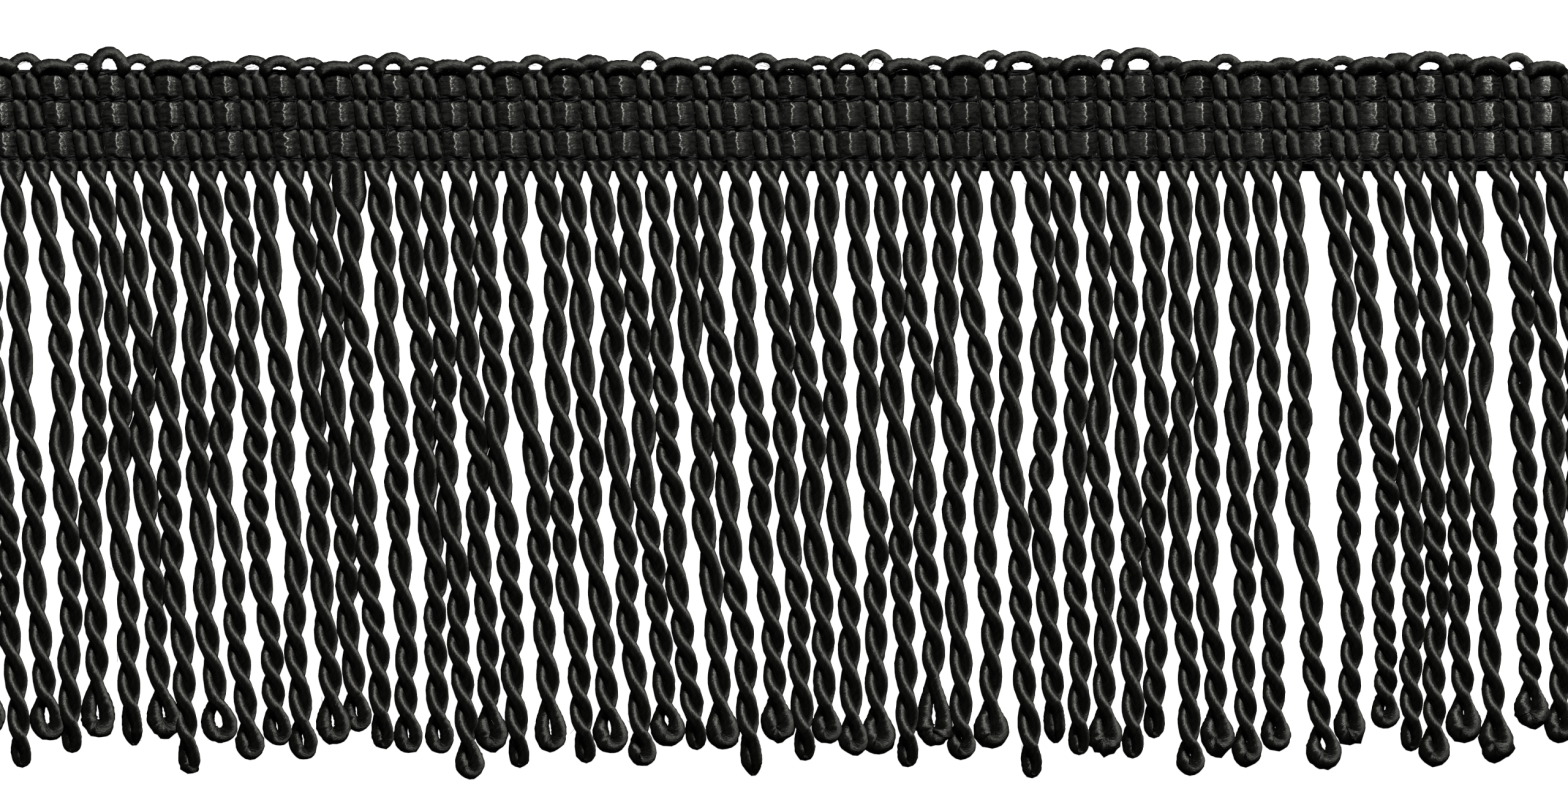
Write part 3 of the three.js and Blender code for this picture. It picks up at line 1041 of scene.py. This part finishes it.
    def _turn(self, index: int, row: BullionRow) -> Array:
        """Lays one turn of the weft above a bullion, which joins the cords of its two neighbours.

        The first turn's left leg goes down in its own column, so that no cord stands beyond the weave.

        Args:
            index: The bullion below the loop.
            row: That bullion's sizes.

        Returns:
            The centreline.
        """
        shape = turn_shape(index)
        reach = shape.reach
        if shape is FRONT_TURN:
            reach += self.low_loop_spread * self._lowness(index, row)
            reach += self.wide_loops.get(index, 0.0)
        heights = np.arange(self.weft_bottom, HEADING_TOP, self.leg_step)
        level = blend(self.pinch_height, shape.rib_height, self._band_swell(heights))
        level += self.hem_rise * smooth_step(BAND_LINES[-1], HEM_BOTTOM, heights)
        left_x = self._cord_x(index - 1, 1.0, heights) if index else self._cord_x(0, -1.0, heights)
        left = np.column_stack([left_x, heights, level])
        right = np.column_stack([self._cord_x(index + 1, -1.0, heights), heights, level])
        centre = COLUMN_X[index] + lean_at(COLUMN_X[index], HEADING_TOP)
        feet = centre - (reach if index else CORD_STEP / 2), centre + reach
        base = HEADING_TOP - self.loop_sink
        crown = HEADING_TOP + row.loop - self._loop_radii(index, row)[1]
        turn = np.linspace(0.1, 0.9, self.arch_points) * math.pi
        arch = np.column_stack(
            [
                sum(feet) / 2 - (feet[1] - feet[0]) / 2 * np.cos(turn),
                blend(base, crown, np.sin(turn) ** 1.1),
                blend(shape.foot_height, shape.loop_height, np.sin(turn) ** 0.7),
            ]
        )
        tuck_left = feet[0] - self.tuck_out, HEADING_TOP, self.tuck_height
        tuck_right = feet[1] + self.tuck_out, HEADING_TOP, self.tuck_height
        return spline(np.vstack([left[:-2], tuck_left, arch, tuck_right, right[-3::-1]]), self.weft_step)

    def _floss(self, band: int, name: str) -> Object:
        """Weaves one flat floss warp over the even bullions' cords and under the odd ones'.

        Args:
            band: The band, counted from the top.
            name: The piece's name.

        Returns:
            The warp.
        """
        floats = COLUMN_X[::2]
        upper, lower = BAND_LINES[band : band + 2]
        middle = (upper + lower) / 2
        tall = upper - lower - 2 * self.floss_margin
        first = (TRIM_LEFT - floats[0]) / (2 * PITCH)
        last = len(floats) - 1 + (TRIM_RIGHT + self.cover - floats[-1]) / (2 * PITCH)
        bm = bmesh.new()
        bmesh.ops.create_grid(
            bm, x_segments=self.float_stations * len(floats), y_segments=self.floss_rows, size=0.5
        )
        flat = np.array([vert.co for vert in bm.verts])
        along = flat[:, 0] + 0.5
        across = flat[:, 1]
        line = np.rint((across + 0.5) * self.floss_rows).astype(int)
        station = first + along * (last - first)
        column = np.clip(np.rint(station), 0, len(floats) - 1).astype(int)
        handed = smooth_step(*self.handed_from, along)
        crest_place = self.crest_place - self.crest_drift * (2 * along - 1) + self.second_crest * handed
        turned = math.tau * (station - column - crest_place / (2 * PITCH))
        beside = 2 * PITCH * (station - column - self.station_crowding / math.tau * np.sin(turned))
        x = floats[column] + beside
        ragged = self._ragged_rows(len(floats))[line, column]
        skew = np.where(beside > 0, self.float_skew, 0.0)
        front = 1.0 - smooth_step(*self.float_edges, np.abs(beside) - skew)
        shallow = self.shallow_slope + self.left_slope * np.maximum(0.0, 1.0 - 2 * along)
        crest = self._float_crest(beside - crest_place + ragged, shallow, handed)
        pillow = self.floss_pillow * np.abs(2 * across) ** 4
        ridge = np.where(line % 2 == 0, self.floss_ridge, -self.floss_ridge)
        z = self.floss_back + (self.floss_face - self.floss_back + crest - pillow + ridge) * front
        y = middle + across * (tall + self.floss_fan * (1.0 - front))
        x = x + lean_at(x, y)
        for vert, place in zip(bm.verts, np.column_stack([x, y, z]) * MM):
            vert.co = place
        bmesh.ops.recalc_face_normals(bm, faces=bm.faces)
        bmesh.ops.solidify(bm, geom=bm.faces, thickness=self.floss_thick * MM)
        mesh = bpy.data.meshes.new(name)
        bm.to_mesh(mesh)
        bm.free()
        places = np.array([vert.co for vert in mesh.vertices]) / MM
        set_fibres(mesh, np.roll(places, -1, axis=1), np.tile((0.0, 1.0, 0.0), len(places)))
        mesh.shade_smooth()
        return new_object(name, mesh)

    def _ragged_rows(self, columns: int) -> Array:
        """Draws how far each row of each float's crest stands aside, in a jagged line."""
        loose = self.random.normal(0.0, self.floss_ragged, (self.floss_rows + 3, columns))
        return 0.2 * loose[:-2] + 0.6 * loose[1:-1] + 0.2 * loose[2:]

    def _float_crest(self, beside: Array, shallow: Array, handed: Array) -> Array:
        """Shapes a float's face: a sharp crest that falls off steeply, and a soft one on its shallow side.

        Args:
            beside: How far right of the sharp crest a point lies.
            shallow: The fall on the shallow side.
            handed: 0 where the shallow side is the right one, 1 where it is the left one.

        Returns:
            How far the floss rises there, at most about nothing.
        """
        swing = self.steep_slope - shallow
        left = self.steep_slope - swing * handed
        right = shallow + swing * handed
        slope = np.where(beside < 0, left, right)
        tent = -slope * (np.sqrt(beside**2 + self.crest_round**2) - self.crest_round)
        soft = self.second_crest * (1 - 2 * handed)
        return tent + self.second_rise * np.exp(-(((beside - soft) / self.second_wide) ** 2))

    def _binders(self, bundle: YarnBundle, line: float) -> None:
        """Twines two pairs of binder threads along a line, over and under the cords, about a ground thread.

        Args:
            bundle: The threads that they join.
            line: The line's height.
        """
        x = np.arange(TRIM_LEFT + self.end_gap, TRIM_RIGHT + self.cover, self.binder_step)
        at_line = np.array([line])
        rows = range(len(BULLION_ROWS))
        cord_x = np.concatenate([self._cord_x(row, side, at_line) for row in rows for side in (-1.0, 1.0)])
        weave = np.interp(x, cord_x, np.arange(len(cord_x)) * math.pi)
        reach = self.pinch_tall + self.binder_radius
        self._ground(bundle, line, self.ground_height, self.ground_wide)
        for side, pair in ((1.0, -1.0), (-1.0, -1.0), (1.0, 1.0), (-1.0, 1.0)):
            phase = self.random.uniform(0.0, math.tau, 2)
            wander = self.binder_wander * (np.sin(x * 0.8 + phase[0]) + np.sin(x * 2.1 + phase[1]))
            wander += self.random.normal(0.0, self.binder_unrest, len(x))
            y = line + pair * self.binder_pair + self.binder_twine * side * np.sin(weave) + wander
            z = self.pinch_height + side * reach * np.cos(weave)
            path = np.column_stack([x, y, np.maximum(z, self.binder_radius)])
            bundle.add(path, self.binder_radius, self.binder_radius, fibre_start(self.random))

    def _ground(self, bundle: YarnBundle, line: float, height: float, wide: float) -> None:
        """Lays one flat ground thread along a line, at a height and with a half width."""
        x = np.arange(TRIM_LEFT + self.end_gap, TRIM_RIGHT + self.cover, 4 * self.binder_step)
        path = np.column_stack([x, np.full(len(x), line), np.full(len(x), height)])
        bundle.add(path, self.ground_tall, wide, fibre_start(self.random))


@dataclass
class Studio:
    """The pale floor, the soft light and the camera straight above the trim."""

    photo_width: float = 221.65
    centre: Span = (5.44, -40.2)
    face_height: float = 1.6
    lens: float = 100.0
    sensor: float = 36.0
    floor_half: float = 1.5
    floor_drop: float = 0.05
    ambient: float = 0.01
    warm: Colour = (1.0, 0.99, 0.92)

    def build(self) -> None:
        """Sets the stage."""
        self._floor()
        self._lights()
        self._camera()

    def _floor(self) -> None:
        """Lays a white floor that doesn't colour the yarn."""
        bm = bmesh.new()
        bmesh.ops.create_grid(bm, x_segments=1, y_segments=1, size=self.floor_half)
        bmesh.ops.translate(bm, verts=bm.verts, vec=(0.0, 0.0, -self.floor_drop * MM))
        mesh = bpy.data.meshes.new("floor")
        bm.to_mesh(mesh)
        bm.free()
        floor = new_object("floor", mesh)
        material = bpy.data.materials.new("white_floor")
        material.use_nodes = True
        shader = material.node_tree.nodes["Principled BSDF"]
        set_inputs(shader, {"Base Color": (0.8, 0.8, 0.8, 1.0), "Roughness": 0.9})
        set_inputs(shader, {"Emission Color": (1.0, 1.0, 1.0, 1.0), "Emission Strength": 1.0})
        mesh.materials.append(material)
        floor.visible_glossy = False
        floor.visible_diffuse = False

    def _lights(self) -> None:
        """Sets a low key light beyond the loops and a weak fill across from it."""
        world = bpy.data.worlds.new("studio")
        world.use_nodes = True
        sky = world.node_tree.nodes["Background"]
        set_inputs(sky, {"Color": (1.0, 1.0, 1.0, 1.0), "Strength": self.ambient})
        bpy.context.scene.world = world
        target = Vector((self.centre[0], self.centre[1], 0.0)) * MM
        for name, place, width, height, power in (
            ("key", (0.06, 0.6, 0.62), 0.12, 0.24, 16.0),
            ("fill", (-0.5, -0.4, 0.6), 0.5, 0.5, 0.2),
        ):
            lamp = bpy.data.lights.new(name, "AREA")
            lamp.shape = "RECTANGLE"
            lamp.size = width
            lamp.size_y = height
            lamp.energy = power
            lamp.color = self.warm
            light = new_object(name, lamp)
            light.location = target + Vector(place)
            light.rotation_euler = (-Vector(place)).to_track_quat("-Z", "Y").to_euler()

    def _camera(self) -> None:
        """Hangs the camera over the photograph's middle."""
        view = bpy.data.cameras.new("camera")
        view.lens = self.lens
        view.sensor_width = self.sensor
        view.sensor_fit = "HORIZONTAL"
        camera = new_object("camera", view)
        distance = self.photo_width * self.lens / self.sensor
        camera.location = Vector((*self.centre, self.face_height + distance)) * MM
        bpy.context.scene.camera = camera
        bpy.context.scene.view_settings.view_transform = "Standard"


def main() -> None:
    """Builds the trim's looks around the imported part."""
    logging.basicConfig(level=logging.INFO, format="%(name)s: %(message)s")
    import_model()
    fibres = fibre_group()
    cord = CORD_FINISH.material(fibres)
    floss = FLOSS_FINISH.material(fibres)
    binder = BINDER_FINISH.material(fibres)
    Heading().build(WORN_CORD_FINISH.material(fibres), floss, binder)
    Fringe().build(cord)
    Studio().build()


if __name__ == "__main__":
    main()
